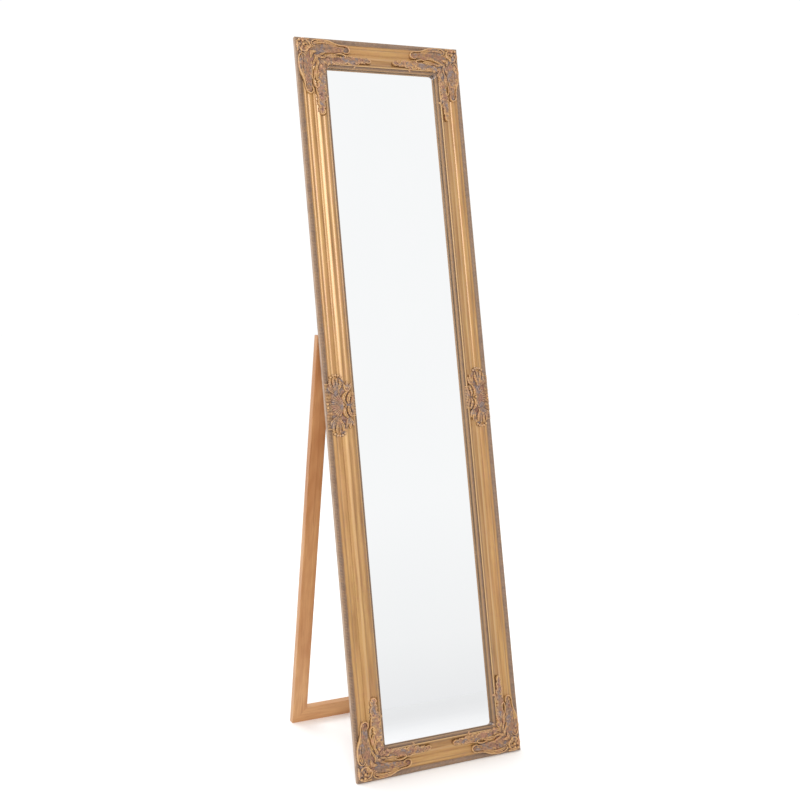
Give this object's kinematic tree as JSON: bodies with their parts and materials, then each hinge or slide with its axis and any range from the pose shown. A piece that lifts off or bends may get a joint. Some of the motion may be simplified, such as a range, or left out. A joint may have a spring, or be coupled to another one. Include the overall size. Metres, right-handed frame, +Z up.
{
  "type": "leaning floor mirror",
  "caption": "Tall leaning dressing mirror: a gilt moulded frame with corner and side ornaments round flat mirror glass, on a hinged fold-flat wooden stand.",
  "frame": {"origin": "on the floor, in the middle of the rectangle that the standing mirror covers", "axes": "+X to the viewer's right, across the mirror; +Y to the back, from the glass towards the stand; +Z up"},
  "size_m": [0.4, 0.3968, 1.5705],
  "materials": {
    "gilt_moulding": "antique gold leaf with umber patina in the hollows and on the beads",
    "gilt_composition": "cast composition, antique gold on the high points and grey-brown patina in the recesses",
    "mirror": "silvered plate glass",
    "backing_board": "plain brown hardboard",
    "bright_steel": "bright zinc-plated steel",
    "brassed_hinge": "brassed steel",
    "stand_wood": "honey-stained softwood, satin varnish"
  },
  "bodies": {
    "mirror_frame": {"left_stile": "gilt_moulding", "right_stile": "gilt_moulding", "top_rail": "gilt_moulding", "bottom_rail": "gilt_moulding", "mirror_glass": "mirror", "backing_board": "backing_board", "glazing_points": "bright_steel", "frame_v_nails": "bright_steel", "bottom_left_corner_ornament": "gilt_composition", "bottom_right_corner_ornament": "gilt_composition", "top_right_corner_ornament": "gilt_composition", "top_left_corner_ornament": "gilt_composition", "left_cartouche": "gilt_composition", "right_cartouche": "gilt_composition", "left_frame_leaf": "brassed_hinge", "right_frame_leaf": "brassed_hinge", "left_hinge_pin": "bright_steel", "right_hinge_pin": "bright_steel", "frame_leaf_screws": "bright_steel"},
    "stand": {"left_leg": "stand_wood", "right_leg": "stand_wood", "stand_top_rail": "stand_wood", "stand_bottom_rail": "stand_wood", "stand_v_nails": "bright_steel", "left_stand_leaf": "brassed_hinge", "right_stand_leaf": "brassed_hinge", "stand_leaf_screws": "bright_steel"}
  },
  "joints": [
    {"name": "stand_hinge", "type": "hinge", "parent": "mirror_frame", "child": "stand", "pos_m": [0, 0.00797, 0.93063], "axis": [-1, 0, 0], "range_deg": [0, 22]}
  ]
}
